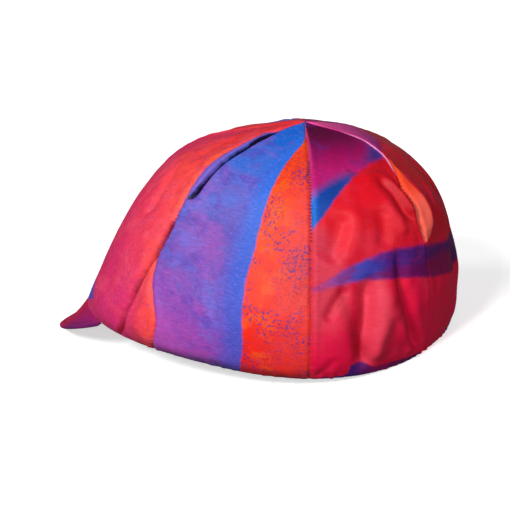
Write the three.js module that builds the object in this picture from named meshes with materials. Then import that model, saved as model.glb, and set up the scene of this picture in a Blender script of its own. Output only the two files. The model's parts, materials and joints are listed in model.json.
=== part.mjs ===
import * as THREE from 'three';

// Cycling cap: a crown of six cloth gores, a short drooping peak and a turned-under hem casing.
// Millimetres, +Z up, peak toward -Y, wearer's left toward +X.
// The crown is laid out upright on its hem plane, then tipped back onto the surface it rests on.

// Crown sections from the apex down to the hem.
// height: above the hem. front, back, side: reach from the crown's middle line.
// flat: how far the cloth is drawn straight between two seams, 0 round and 1 straight.
// frontSwing: degrees by which the two front side seams wander toward the back.
// backSwing: degrees by which the middle back seam wanders toward the wearer's right.
const CROWN_ROWS = [
  { height: 130.5, front: 0, back: 0, side: 0, flat: 0.5, frontSwing: 0, backSwing: 0 },
  { height: 125, front: 19, back: 30, side: 24, flat: 0.5, frontSwing: -5, backSwing: 15.5 },
  { height: 118.3, front: 42, back: 51.5, side: 42, flat: 0.48, frontSwing: -4, backSwing: 10.5 },
  { height: 108.7, front: 71.5, back: 72, side: 59, flat: 0.4, frontSwing: -1, backSwing: -3 },
  { height: 93.7, front: 93, back: 86.5, side: 71.5, flat: 0.28, frontSwing: 1.5, backSwing: -3.5 },
  { height: 76, front: 107, back: 92, side: 81, flat: 0.15, frontSwing: 2.5, backSwing: -2.5 },
  { height: 57, front: 116.5, back: 94, side: 90, flat: 0.07, frontSwing: 2, backSwing: -1 },
  { height: 38, front: 124.5, back: 96.5, side: 99, flat: 0.03, frontSwing: 6.5, backSwing: 0 },
  { height: 21, front: 131.5, back: 95.5, side: 103.5, flat: 0, frontSwing: 10.5, backSwing: 0 },
  { height: 8, front: 137.5, back: 94, side: 103, flat: 0, frontSwing: 9.5, backSwing: 0 },
  { height: 0, front: 141.5, back: 92, side: 97, flat: 0, frontSwing: 7, backSwing: 0 },
];
const PLAN_SQUARENESS = 2.29;

// Seam angles, from the middle front round the wearer's left side, and how each seam swings.
const SEAM_ANGLES = [0, 53, 120, 171, 240, 307, 360];
const FRONT_SWING_SHARES = [0, 1, 0, 0, 0, -1, 0];
const BACK_SWING_SHARES = [0, 0, 0, 1, 0, 0, 0];
const SEAM_GAP = 0.3;
const CLOTH_THICKNESS = 1.6;
const TIP_START = 0.008;
const GORE_COLUMNS = 16;
const GORE_ROWS = 20;

// Folds and creases of the cloth. run: [angle, way down] points; rise: mm out, minus for a hollow;
// front, back: mm from the middle of the fold to where that side has faded to about a third.
const MERIDIAN_LENGTH = 190;
const FOLDS = [
  { run: [[56, 0.16], [58.6, 0.29], [58, 0.42]], rise: -3.4, front: 2.6, back: 2.6 },
  { run: [[57.5, 0.2], [61, 0.31], [62, 0.4]], rise: 0.8, front: 3, back: 3 },
  { run: [[55.5, 0.48], [53.5, 0.6], [51, 0.75], [47, 0.96]], rise: -4.6, front: 3.2, back: 2.6 },
  { run: [[58, 0.62], [57.5, 0.75], [56, 0.93]], rise: 1.2, front: 4, back: 4 },
  { run: [[28, 0.34], [35, 0.4], [38, 0.46], [37, 0.53]], rise: -2.4, front: 3.5, back: 2.8 },
  { run: [[22, 0.2], [32, 0.26], [38, 0.33]], rise: -1.4, front: 4, back: 2.8 },
  { run: [[135, 0.38], [130.6, 0.47], [126, 0.54]], rise: -3.2, front: 7, back: 5 },
  { run: [[141, 0.35], [136.3, 0.456], [131.6, 0.55]], rise: 1.8, front: 5, back: 7 },
  { run: [[152, 0.37], [151, 0.44], [149, 0.51]], rise: -2.6, front: 6, back: 4 },
  { run: [[154, 0.34], [158, 0.42], [159.5, 0.48]], rise: 1.2, front: 4, back: 3 },
  { run: [[158, 0.27], [160.5, 0.33], [162, 0.4], [166, 0.45]], rise: -2.6, front: 3.5, back: 2.8 },
  { run: [[161, 0.27], [164, 0.35], [165.5, 0.44]], rise: 1.6, front: 3, back: 2.6 },
  { run: [[165, 0.3], [168, 0.38], [167.5, 0.44], [169, 0.52]], rise: -2.8, front: 2.6, back: 3 },
  { run: [[172, 0.25], [175.5, 0.35], [176.5, 0.43], [173, 0.52]], rise: 3, front: 5.5, back: 2.8 },
  { run: [[138, 0.22], [150, 0.235], [166, 0.25]], rise: -1, front: 3, back: 3 },
  { run: [[142, 0.56], [140.2, 0.68], [138.6, 0.77], [138.6, 0.95]], rise: -7.5, front: 6.6, back: 4.6 },
  { run: [[150, 0.57], [147.7, 0.7], [143.2, 0.79], [141.3, 0.9]], rise: 3, front: 6, back: 6 },
  { run: [[150.5, 0.67], [155, 0.79], [161, 0.93]], rise: 1.8, front: 4, back: 3 },
  { run: [[154.2, 0.47], [155.4, 0.64], [158.4, 0.736], [166.5, 0.97]], rise: -5, front: 3.6, back: 4.6 },
  { run: [[133.5, 0.6], [128, 0.653], [124.5, 0.71]], rise: -2.4, front: 3, back: 3 },
  { run: [[129, 0.83], [125, 0.9], [122, 0.96]], rise: -0.9, front: 3.4, back: 3 },
  { run: [[194, 0.34], [186, 0.43], [194.6, 0.56]], rise: 1, front: 4, back: 2.8 },
  { run: [[176, 0.53], [189, 0.53], [203, 0.55]], rise: -1.8, front: 6, back: 6 },
  { run: [[196, 0.58], [200, 0.72], [199, 0.92]], rise: -1.8, front: 5, back: 5 },
  { run: [[216, 0.6], [213, 0.75], [212, 0.93]], rise: -2, front: 5, back: 4 },
  { run: [[228, 0.55], [226, 0.7], [229, 0.9]], rise: -1.6, front: 5, back: 3 },
  { run: [[206, 0.27], [204, 0.37], [200, 0.47]], rise: -1.6, front: 6, back: 4 },
  { run: [[305, 0.52], [308, 0.7], [312.5, 0.94]], rise: -1.8, front: 3.5, back: 3.5 },
  { run: [[300, 0.18], [299, 0.3], [302, 0.42]], rise: -1.6, front: 3.5, back: 3.5 },
  { run: [[322, 0.36], [318, 0.44], [320, 0.52]], rise: -1, front: 4, back: 4 },
];
const FOLD_END_FADE = 0.22;
const HEM_CALM = 0.06;

// Peak: a stiff board covered in the crown's cloth, drooping forward from under the front hem.
const PEAK_HALF_WIDTH = 71;
const PEAK_REACH = 43;
const PEAK_OUTLINE_POWER = 0.85;
const PEAK_DROOP = 48;
const PEAK_HOLLOW = 0.5;
const PEAK_THICKNESS = 2.4;
const PEAK_NOSE = 0.9;
const PEAK_COLUMNS = 28;
const PEAK_ENDS = 0.985;
const PEAK_GAP = 0.3;

// Hem casing: a flat tunnel of cloth round an elastic, lying inside the lower edge of the gores.
const CASING_THICKNESS = 2.2;
const CASING_WIDTH_BACK = 13;
const CASING_WIDTH_FRONT = 7;
const CASING_GAP = 0.35;
const CASING_COLUMNS = 96;

// Resting pose: the cap tips front up about its back hem until the peak's edge touches down.
const REST_TILT = 7.55;
const REST_PIVOT = 92;
const REST_SINK = 0.8;

const COLOURS = {
  gore_front_left: 0xd8345c,
  gore_side_left: 0x7a5fc0,
  gore_back_left: 0xc81e3c,
  gore_back_right: 0x8e1436,
  gore_side_right: 0xf0553a,
  gore_front_right: 0x3f62c4,
  peak: 0xa3123f,
  hem_casing: 0x5a0f33,
};

const radians = (degrees) => (degrees * Math.PI) / 180;

// Smooth reading of one column of the crown table, v running 0 at the apex to 1 at the hem.
function readRows(column, v) {
  const last = CROWN_ROWS.length - 1;
  const place = last * v;
  const index = Math.min(Math.floor(place), last - 1);
  const w = place - index;
  const p0 = CROWN_ROWS[Math.max(index - 1, 0)][column];
  const p1 = CROWN_ROWS[index][column];
  const p2 = CROWN_ROWS[index + 1][column];
  const p3 = CROWN_ROWS[Math.min(index + 2, last)][column];
  const s1 = (p2 - p0) / 2;
  const s2 = (p3 - p1) / 2;
  return (2 * p1 - 2 * p2 + s1 + s2) * w ** 3 + (3 * p2 - 3 * p1 - 2 * s1 - s2) * w ** 2 + s1 * w + p1;
}

function seamAngle(seam, v) {
  const swing = FRONT_SWING_SHARES[seam] * readRows('frontSwing', v);
  return SEAM_ANGLES[seam] + swing + BACK_SWING_SHARES[seam] * readRows('backSwing', v);
}

// Reach of the rounded plan outline at an angle, before the cloth is drawn between seams.
function planReach(degrees, v) {
  const c = Math.cos(radians(degrees));
  const s = Math.sin(radians(degrees));
  const along = Math.max(readRows(c > 0 ? 'front' : 'back', v), 1e-3);
  const across = Math.max(readRows('side', v), 1e-3);
  const sum = Math.abs(c / along) ** PLAN_SQUARENESS + Math.abs(s / across) ** PLAN_SQUARENESS;
  return sum ** (-1 / PLAN_SQUARENESS);
}

// Reach of the taut cloth of one gore, partly a straight line between its two seams.
function clothReach(gore, degrees, v) {
  const from = seamAngle(gore, v);
  const to = seamAngle(gore + 1, v);
  const a = planReach(from, v);
  const b = planReach(to, v);
  const chord = (a * b * Math.sin(radians(to - from)))
    / (a * Math.sin(radians(degrees - from)) + b * Math.sin(radians(to - degrees)));
  const round = planReach(degrees, v);
  return round + (chord - round) * readRows('flat', v);
}

const fade = (x) => {
  const t = Math.min(Math.max(x, 0), 1);
  return t * t * (3 - 2 * t);
};

// Height of all folds at a point, measured across the cloth in millimetres.
function foldRise(degrees, v, reach) {
  const perDegree = radians(1) * reach;
  let total = 0;
  for (const { run, rise, front, back } of FOLDS) {
    let nearest = Infinity;
    let way = 0;
    let width = front;
    for (let i = 0; i < run.length - 1; i += 1) {
      const dx = (run[i + 1][0] - run[i][0]) * perDegree;
      const dy = (run[i + 1][1] - run[i][1]) * MERIDIAN_LENGTH;
      const px = (degrees - run[i][0]) * perDegree;
      const py = (v - run[i][1]) * MERIDIAN_LENGTH;
      const t = Math.min(Math.max((px * dx + py * dy) / (dx * dx + dy * dy), 0), 1);
      const distance = Math.hypot(px - t * dx, py - t * dy);
      if (distance < nearest) {
        nearest = distance;
        way = (i + t) / (run.length - 1);
        width = px * dy > py * dx ? back : front;
      }
    }
    const ends = fade(way / FOLD_END_FADE) * fade((1 - way) / FOLD_END_FADE);
    total += rise * ends * Math.exp(-((nearest / width) ** 2));
  }
  return total * fade((1 - v) / HEM_CALM);
}

// Outer and inner face of the cloth at one place, as [reach, height] pairs.
function clothSection(gore, degrees, v) {
  const step = 1e-3;
  const below = Math.min(v + step, 1);
  const above = Math.max(v - step, 0);
  const reach = clothReach(gore, degrees, v);
  const dr = clothReach(gore, degrees, below) - clothReach(gore, degrees, above);
  const dz = readRows('height', below) - readRows('height', above);
  const length = Math.hypot(dr, dz);
  const nr = -dz / length;
  const nz = dr / length;
  const rise = foldRise(degrees, v, reach);
  const outer = [reach + nr * rise, readRows('height', v) + nz * rise];
  const inner = v < 1
    ? [outer[0] - nr * CLOTH_THICKNESS, outer[1] - nz * CLOTH_THICKNESS]
    : [outer[0] - CLOTH_THICKNESS / nr, outer[1]];
  return { outer, inner };
}

function around(degrees, reach, height) {
  const t = radians(degrees);
  return [reach * Math.sin(t), -reach * Math.cos(t), height];
}

// Tips the laid-out cap onto its surface and flattens the little that would sink into it.
function settle([x, y, z]) {
  const t = radians(REST_TILT);
  const ahead = y - REST_PIVOT;
  const height = z * Math.cos(t) - ahead * Math.sin(t) - REST_SINK;
  return [x, REST_PIVOT + ahead * Math.cos(t) + z * Math.sin(t), Math.max(height, 0)];
}

function solid(name, points, faces) {
  const geometry = new THREE.BufferGeometry();
  geometry.setAttribute('position', new THREE.Float32BufferAttribute(points.map(settle).flat(), 3));
  geometry.setIndex(faces.flat());
  geometry.computeVertexNormals();
  const material = new THREE.MeshStandardMaterial({ color: COLOURS[name], roughness: 0.8 });
  const mesh = new THREE.Mesh(geometry, material);
  mesh.name = name;
  return mesh;
}

const quad = (a, b, c, d) => [a, b, c, a, c, d];

// One gore: an outer and an inner sheet of the same grid, joined along all four edges.
function makeGore(name, gore) {
  const points = [];
  for (const side of ['outer', 'inner']) {
    for (let row = 0; row <= GORE_ROWS; row += 1) {
      const v = TIP_START + (1 - TIP_START) * (row / GORE_ROWS);
      const from = seamAngle(gore, v);
      const to = seamAngle(gore + 1, v);
      for (let column = 0; column <= GORE_COLUMNS; column += 1) {
        const u = column / GORE_COLUMNS;
        const degrees = from + (to - from) * u;
        const [reach, height] = clothSection(gore, degrees, v)[side];
        const point = around(degrees, reach, height);
        // The edges stand half a seam gap off the seam's own upright plane.
        const shift = u === 0 ? SEAM_GAP / 2 : -SEAM_GAP / 2;
        if (u === 0 || u === 1) {
          point[0] += shift * Math.cos(radians(degrees));
          point[1] += shift * Math.sin(radians(degrees));
        }
        points.push(point);
      }
    }
  }
  const wide = GORE_COLUMNS + 1;
  const sheet = wide * (GORE_ROWS + 1);
  const at = (row, column) => row * wide + column;
  const faces = [];
  for (let row = 0; row < GORE_ROWS; row += 1) {
    for (let column = 0; column < GORE_COLUMNS; column += 1) {
      const a = at(row, column);
      const b = at(row, column + 1);
      const c = at(row + 1, column + 1);
      const d = at(row + 1, column);
      faces.push(quad(a, d, c, b));
      faces.push(quad(sheet + a, sheet + b, sheet + c, sheet + d));
    }
    for (const [column, out] of [[0, true], [GORE_COLUMNS, false]]) {
      const a = at(row, column);
      const b = at(row + 1, column);
      faces.push(out ? quad(a, sheet + a, sheet + b, b) : quad(a, b, sheet + b, sheet + a));
    }
  }
  for (let column = 0; column < GORE_COLUMNS; column += 1) {
    for (const [row, out] of [[0, false], [GORE_ROWS, true]]) {
      const a = at(row, column);
      const b = at(row, column + 1);
      faces.push(out ? quad(a, sheet + a, sheet + b, b) : quad(a, b, sheet + b, sheet + a));
    }
  }
  return solid(name, points, faces);
}

// Angle at which the front hem stands at a given distance from the middle line.
function hemAngle(x) {
  let low = -60;
  let high = 60;
  for (let i = 0; i < 40; i += 1) {
    const middle = (low + high) / 2;
    if (planReach(middle, 1) * Math.sin(radians(middle)) < x) low = middle;
    else high = middle;
  }
  return (low + high) / 2;
}

// Section of the peak at one distance from its middle, as a loop of points from the hem outward.
function peakSection(across) {
  const x = across * PEAK_HALF_WIDTH;
  const hem = around(hemAngle(x), planReach(hemAngle(x), 1), 0);
  const run = PEAK_REACH * Math.cos(radians(PEAK_DROOP)) * (1 - across ** 2) ** PEAK_OUTLINE_POWER;
  const fall = Math.tan(radians(PEAK_DROOP));
  const top = [[x, hem[1] + CLOTH_THICKNESS, -PEAK_GAP, 0]];
  for (const s of [0, 0.2, 0.4, 0.6, 0.8, 1]) {
    const drop = run * fall * (s + PEAK_HOLLOW * s * (1 - s));
    const slope = Math.atan(fall * (1 + PEAK_HOLLOW * (1 - 2 * s)));
    top.push([x, hem[1] - run * s, -PEAK_GAP - drop, s === 0 ? slope / 2 : slope]);
  }
  const below = ([px, py, pz, slope], depth) => [
    px,
    py + depth * Math.sin(slope),
    pz - depth * Math.cos(slope),
  ];
  const tip = below(top[top.length - 1], PEAK_THICKNESS / 2);
  const lean = top[top.length - 1][3];
  const nose = [x, tip[1] - PEAK_NOSE * Math.cos(lean), tip[2] - PEAK_NOSE * Math.sin(lean)];
  const under = top.map((point) => below(point, PEAK_THICKNESS)).reverse();
  return [...top.map((point) => point.slice(0, 3)), nose, ...under];
}

// Skins a row of equal loops; closed rows join up, open rows get an end face each.
function loft(name, loops, closed) {
  const size = loops[0].length;
  const faces = [];
  const spans = closed ? loops.length : loops.length - 1;
  for (let i = 0; i < spans; i += 1) {
    const next = (i + 1) % loops.length;
    for (let j = 0; j < size; j += 1) {
      const k = (j + 1) % size;
      faces.push(quad(i * size + j, i * size + k, next * size + k, next * size + j));
    }
  }
  if (!closed) {
    const end = (loops.length - 1) * size;
    const half = size / 2;
    for (let j = 0; j < half - 1; j += 1) {
      const k = size - 1 - j;
      faces.push(quad(j, k, k - 1, j + 1));
      faces.push(quad(end + j, end + j + 1, end + k - 1, end + k));
    }
  }
  return solid(name, loops.flat(), faces);
}

function makePeak() {
  const loops = [];
  for (let i = 0; i <= PEAK_COLUMNS; i += 1) {
    loops.push(peakSection(PEAK_ENDS * ((2 * i) / PEAK_COLUMNS - 1)));
  }
  return loft('peak', loops, false);
}

// Reach of the inner face of the lowest strip of a gore at a small height above the hem.
function insideReach(gore, degrees, height) {
  const hem = clothSection(gore, degrees, 1).inner;
  const above = clothSection(gore, degrees, 1 - (1 - TIP_START) / GORE_ROWS).inner;
  return hem[0] + ((above[0] - hem[0]) * height) / (above[1] - hem[1]);
}

function makeHemCasing() {
  const loops = [];
  for (let i = 0; i < CASING_COLUMNS; i += 1) {
    const degrees = (360 * i) / CASING_COLUMNS;
    const gore = [0, 1, 2, 3, 4, 5].find((seam) => degrees < seamAngle(seam + 1, 1));
    const outside = insideReach(gore, degrees, 0) - CASING_GAP;
    const outsideTop = insideReach(gore, degrees, CASING_THICKNESS) - CASING_GAP;
    const backness = (1 - Math.cos(radians(degrees))) / 2;
    const width = CASING_WIDTH_FRONT + (CASING_WIDTH_BACK - CASING_WIDTH_FRONT) * fade(2 * backness);
    const inside = outside - width;
    loops.push([
      around(degrees, outside, 0),
      around(degrees, inside + 0.8, 0),
      around(degrees, inside, CASING_THICKNESS / 2),
      around(degrees, inside + 0.8, CASING_THICKNESS),
      around(degrees, outsideTop, CASING_THICKNESS),
    ]);
  }
  return loft('hem_casing', loops, true);
}

const cap = new THREE.Group();
cap.name = 'cycling_cap';
const GORE_NAMES = [
  'gore_front_left',
  'gore_side_left',
  'gore_back_left',
  'gore_back_right',
  'gore_side_right',
  'gore_front_right',
];
GORE_NAMES.forEach((name, gore) => cap.add(makeGore(name, gore)));
cap.add(makePeak());
cap.add(makeHemCasing());

// The origin sits under the middle of the whole cap.
const box = new THREE.Box3().setFromObject(cap);
const middle = box.getCenter(new THREE.Vector3());
cap.children.forEach((mesh) => mesh.geometry.translate(-middle.x, -middle.y, -box.min.z));

export default cap;
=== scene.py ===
"""Cycling cap: six gores of printed stretch cloth, a short drooping peak and a turned-under hem.

Lengths in the tables are millimetres. The cap is laid out upright on its hem plane, as a maker
would draw it, then tipped back until it rests on its back hem and the edge of its peak.
"""

import json
import math

import bpy
import numpy as np
from mathutils import Matrix, Vector

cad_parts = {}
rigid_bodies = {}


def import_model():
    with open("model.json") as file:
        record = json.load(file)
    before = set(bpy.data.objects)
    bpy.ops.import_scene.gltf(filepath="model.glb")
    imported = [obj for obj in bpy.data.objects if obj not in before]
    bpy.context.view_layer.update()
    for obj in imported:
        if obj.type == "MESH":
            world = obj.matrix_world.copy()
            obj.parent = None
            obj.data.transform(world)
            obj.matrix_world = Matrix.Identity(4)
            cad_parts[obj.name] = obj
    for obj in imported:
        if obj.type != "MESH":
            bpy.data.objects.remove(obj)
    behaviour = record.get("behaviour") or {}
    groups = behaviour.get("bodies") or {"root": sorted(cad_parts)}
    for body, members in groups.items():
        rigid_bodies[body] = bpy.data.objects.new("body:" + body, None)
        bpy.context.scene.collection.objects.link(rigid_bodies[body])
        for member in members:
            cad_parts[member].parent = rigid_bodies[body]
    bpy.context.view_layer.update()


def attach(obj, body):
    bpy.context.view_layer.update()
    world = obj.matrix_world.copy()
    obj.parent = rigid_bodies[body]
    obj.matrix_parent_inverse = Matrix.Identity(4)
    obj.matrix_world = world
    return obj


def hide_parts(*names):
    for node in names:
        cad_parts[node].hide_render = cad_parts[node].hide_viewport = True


# Crown sections from the apex down to the hem, the same sizes as the solid gores.
# height above the hem, reach to the front, back and side, how far the cloth is drawn straight
# between two seams, and the degrees by which the side seams and the back seam wander
CROWN_ROWS = {
    "height": (130.5, 125, 118.3, 108.7, 93.7, 76, 57, 38, 21, 8, 0),
    "front": (0, 19, 42, 71.5, 93, 107, 116.5, 124.5, 131.5, 137.5, 141.5),
    "back": (0, 30, 51.5, 72, 86.5, 92, 94, 96.5, 95.5, 94, 92),
    "side": (0, 24, 42, 59, 71.5, 81, 90, 99, 103.5, 103, 97),
    "flat": (0.5, 0.5, 0.48, 0.4, 0.28, 0.15, 0.07, 0.03, 0, 0, 0),
    "front_swing": (0, -5, -4, -1, 1.5, 2.5, 2, 6.5, 10.5, 9.5, 7),
    "back_swing": (0, 15.5, 10.5, -3, -3.5, -2.5, -1, 0, 0, 0, 0),
}
PLAN_SQUARENESS = 2.29
SEAM_ANGLES = (0, 53, 120, 171, 240, 307, 360)
FRONT_SWING_SHARES = (0, 1, 0, 0, 0, -1, 0)
BACK_SWING_SHARES = (0, 0, 0, 1, 0, 0, 0)
CLOTH = 1.6
GORES = (
    "gore_front_left", "gore_side_left", "gore_back_left",
    "gore_back_right", "gore_side_right", "gore_front_right",
)
GORE_COLUMNS = 110
GORE_ROWS = 150

# Folds of the cloth: millimetres out, the widths in millimetres of the sides toward the front and
# toward the back, and points as (angle, way down).
MERIDIAN = 190
FOLDS = (
    (0.8, 3, 3, (57.5, 0.2), (61, 0.31), (62, 0.4)),
    (-4.6, 3.2, 2, (55.5, 0.48), (53.5, 0.6), (51, 0.75), (47, 0.96)),
    (1.2, 4, 4, (58, 0.62), (57.5, 0.75), (56, 0.93)),
    (-2.4, 3.5, 2, (28, 0.34), (35, 0.4), (38, 0.46), (37, 0.53)),
    (-1.4, 4, 2.5, (22, 0.2), (32, 0.26), (38, 0.33)),
    (-3.2, 7, 5, (135, 0.38), (130.6, 0.47), (126, 0.54)),
    (1.8, 5, 7, (141, 0.35), (136.3, 0.456), (131.6, 0.55)),
    (-2.6, 6, 4, (152, 0.37), (151, 0.44), (149, 0.51)),
    (1.2, 4, 3, (154, 0.34), (158, 0.42), (159.5, 0.48)),
    (-2.6, 3.5, 2.5, (158, 0.27), (160.5, 0.33), (162, 0.4), (166, 0.45)),
    (1.6, 3, 2, (161, 0.27), (164, 0.35), (165.5, 0.44)),
    (-2.8, 2, 3, (165, 0.3), (168, 0.38), (167.5, 0.44), (169, 0.52)),
    (3, 5.5, 2.6, (172, 0.25), (175.5, 0.35), (176.5, 0.43), (173, 0.52)),
    (-1.6, 2.4, 2.4, (143, 0.235), (150, 0.245), (160, 0.245), (170, 0.26)),
    (-7.5, 6.6, 4.6, (142, 0.56), (140.2, 0.68), (138.6, 0.77), (138.6, 0.95)),
    (3, 6, 6, (150, 0.57), (147.7, 0.7), (143.2, 0.79), (141.3, 0.9)),
    (1.8, 4, 3, (150.5, 0.67), (152, 0.72), (155, 0.79), (159, 0.87), (161, 0.93)),
    (-5, 3.6, 4.6, (154.2, 0.47), (155.4, 0.64), (158.4, 0.736), (162.5, 0.83), (166.5, 0.97)),
    (-2.4, 3, 3, (133.5, 0.6), (128, 0.653), (124.5, 0.71)),
    (-0.9, 3.4, 3, (129, 0.83), (125, 0.9), (122, 0.96)),
    (1, 4, 2, (194, 0.34), (186, 0.43), (194.6, 0.56)),
    (-1.8, 6, 6, (176, 0.53), (189, 0.53), (203, 0.55)),
    (-1.8, 5, 5, (196, 0.58), (200, 0.72), (199, 0.92)),
    (-2, 5, 4, (216, 0.6), (213, 0.75), (212, 0.93)),
    (-1.6, 5, 3, (228, 0.55), (226, 0.7), (229, 0.9)),
    (-1.6, 6, 4, (206, 0.27), (204, 0.37), (200, 0.47)),
    (-1.8, 3.5, 3.5, (305, 0.52), (308, 0.7), (312.5, 0.94)),
    (-1.6, 3.5, 3.5, (300, 0.18), (299, 0.3), (302, 0.42)),
    (-1, 4, 4, (322, 0.36), (318, 0.44), (320, 0.52)),
)
FOLD_END = 0.22
# The tuck beside the left front seam: its line, depth, half width, and how far its lip leans over.
TUCK_LINE = ((50.5, 0.05), (53.4, 0.09), (56, 0.14), (57.6, 0.22), (58.6, 0.29), (58.8, 0.35), (58, 0.42))
TUCK_DEPTH = -5
TUCK_WIDTH = 1.5
TUCK_LIP = 1.6
TUCK_LIP_WIDTH = 1.9
TUCK_LEAN = 2.6
TUCK_POCKET = 3.4
HEM_CALM = 0.06
# Cloth at a seam: millimetres the edges tuck in, how far that reaches, and the low rise beside it.
SEAM_TUCK = 0.95
SEAM_TUCK_WIDTH = 1.2
SEAM_SHOULDER = 0.35
SEAM_SHOULDER_PLACE = 3.2
SEAM_SHOULDER_WIDTH = 1.8
# The seam between the two back gores has its allowances pressed to one side, which lifts a welt on
# its upper part. Its lower half lies flat and hardly shows.
WELT_RISE = 0.9
WELT_WIDTH = 1.1
WELT_OFFSET = 1.7
WELT_END = 0.62
FLAT_FROM = 0.5
FLAT_WIDTH = 8
# Puckers along the seams, and gathers along the hem.
PUCKER_RISE = 0.13
PUCKER_SPACING = 6.5
PUCKER_REACH = 4.5
HEM_PUCKER = 0.55
HEM_PUCKER_REACH = 11
HEM_ROUND = 0.7
# Points round the turned hem: share of the cloth's thickness inward, share of HEM_ROUND up.
HEM_TURN = ((0.2, 0.25), (0.45, 0), (0.6, 0), (0.8, 0.25))
# Uneven waves of the slack cloth: height and length of the broad ones and of the fine ones.
BROAD_WAVE = 0.45
BROAD_WAVE_LENGTH = 42
FINE_WAVE = 0.14
FINE_WAVE_LENGTH = 15

# Peak
PEAK_HALF = 71
PEAK_REACH = 43
PEAK_OUTLINE = 0.85
PEAK_DROOP = 48
PEAK_HOLLOW = 0.5
PEAK_THICK = 2.4
PEAK_NOSE = 0.9
PEAK_ENDS = 0.985
PEAK_GAP = 0.04
# Height and length of the slight waves on its top.
PEAK_QUILT = 0.1
PEAK_QUILT_LENGTH = 14
PEAK_COLUMNS = 121
PEAK_ROWS = 31
PEAK_EDGE_STEPS = 7

# Hem casing
CASING_THICK = 2.2
CASING_BACK = 13
CASING_FRONT = 7
CASING_GAP = 0.35
CASING_RUCK = 0.3
# Length and girth of its strip of cloth, which set the scale of its print.
CASING_ROUND = 620
CASING_GIRTH = 30
CASING_COLUMNS = 720
CASING_SIDES = 24
# Height of the solid crown's lowest strip, as a share of the way down.
LOWEST_STRIP = 0.992 / 20

# Resting pose, and the step that brings the middle of the whole cap over the origin.
REST_TILT = 7.55
REST_PIVOT = 92
REST_SINK = 0.8
REST_FORWARD = 35.28

# Seam stitches peek out of the groove only where the cloth strains: (seam, from, to) down the gores.
# Steps, lengths and insets are millimetres, and the rise is their height over the cloth.
STITCH_RUNS = ((0, 0.3, 0.62), (1, 0.46, 0.56), (2, 0.2, 0.47), (3, 0.29, 0.38), (4, 0.3, 0.6), (5, 0.4, 0.6))
STITCH_STEP = 1.9
STITCH_LENGTH = 1.7
STITCH_THICK = 0.36
STITCH_RISE = -0.5
TOPSTITCH_STEP = 2.8
TOPSTITCH_LENGTH = 2.1
TOPSTITCH_INSET = 5.5
TOPSTITCH_RISE = 0.08

# Dye and cloth: shares of a piece by which printed edges waver across and down, the levels of noise at
# which flecks and their groups show, the size of a group in millimetres, and the spacing of the ribs.
EDGE_WOBBLE = (0.018, 0.01)
DOT_LEVELS = (0.55, 0.6)
HERD_LEVELS = (0.46, 0.62)
HERD_SIZE = 22
WALE_DRAWN = 0.9

# Camera, in metres, degrees and millimetres of lens
CAMERA_PLACE = (1.0970, 0.6324, 0.4255)
CAMERA_AIM = (0, 0.0312, 0.0719)
CAMERA_ROLL = -5.59
CAMERA_LENS = 145.66
CAMERA_SHIFT = (-0.0565, -0.0578)
FLOOR_HALF = 6.0


def rows(column, v):
    """Smooth reading of one crown column, v from 0 at the apex to 1 at the hem."""
    table = np.array(CROWN_ROWS[column], float)
    last = len(table) - 1
    place = last * np.clip(v, 0, 1)
    i = np.minimum(np.floor(place), last - 1).astype(int)
    w = place - i
    p0, p1 = table[np.maximum(i - 1, 0)], table[i]
    p2, p3 = table[i + 1], table[np.minimum(i + 2, last)]
    s1, s2 = (p2 - p0) / 2, (p3 - p1) / 2
    return (2 * p1 - 2 * p2 + s1 + s2) * w**3 + (3 * p2 - 3 * p1 - 2 * s1 - s2) * w**2 + s1 * w + p1


def seam_angle(seam, v):
    """Degrees round the cap, from the front, at which a seam runs."""
    swing = FRONT_SWING_SHARES[seam] * rows("front_swing", v)
    return SEAM_ANGLES[seam] + swing + BACK_SWING_SHARES[seam] * rows("back_swing", v)


def plan_reach(degrees, v):
    """Distance of the taut crown from its upright axis."""
    c, s = np.cos(np.radians(degrees)), np.sin(np.radians(degrees))
    along = np.maximum(np.where(c > 0, rows("front", v), rows("back", v)), 1e-3)
    across = np.maximum(rows("side", v), 1e-3)
    total = np.abs(c / along) ** PLAN_SQUARENESS + np.abs(s / across) ** PLAN_SQUARENESS
    return total ** (-1 / PLAN_SQUARENESS)


def cloth_reach(gore, degrees, v):
    """Reach of the taut cloth, partly a straight line between the gore's two seams."""
    start, end = seam_angle(gore, v), seam_angle(gore + 1, v)
    a, b = plan_reach(start, v), plan_reach(end, v)
    run = a * np.sin(np.radians(degrees - start)) + b * np.sin(np.radians(end - degrees))
    chord = a * b * np.sin(np.radians(end - start)) / run
    full = plan_reach(degrees, v)
    return full + (chord - full) * rows("flat", v)


def fade(x):
    """Smooth step from 0 at 0 to 1 at 1."""
    t = np.clip(x, 0, 1)
    return t * t * (3 - 2 * t)


def bell(x, width):
    """1 at 0, falling off over a width on both sides."""
    return np.exp(-((x / width) ** 2))


def fold_rise(degrees, v, reach):
    """Millimetres by which all the folds lift the cloth or sink it."""
    per_degree = math.radians(1) * reach
    total = np.zeros_like(reach)
    for rise, front_width, back_width, *run in FOLDS:
        nearest = np.full_like(reach, 1e9)
        way, width = np.zeros_like(reach), np.full_like(reach, 1.0)
        for i in range(len(run) - 1):
            dx = (run[i + 1][0] - run[i][0]) * per_degree
            dy = (run[i + 1][1] - run[i][1]) * MERIDIAN
            px = (degrees - run[i][0]) * per_degree
            py = (v - run[i][1]) * MERIDIAN
            t = np.clip((px * dx + py * dy) / (dx * dx + dy * dy), 0, 1)
            distance = np.hypot(px - t * dx, py - t * dy)
            closer = distance < nearest
            side = np.where(px * dy - py * dx > 0, back_width, front_width)
            way = np.where(closer, (i + t) / (len(run) - 1), way)
            width = np.where(closer, side, width)
            nearest = np.minimum(distance, nearest)
        ends = fade(way / FOLD_END) * fade((1 - way) / FOLD_END)
        total += rise * ends * bell(nearest, width)
    return total * fade((1 - v) / HEM_CALM)


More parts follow.
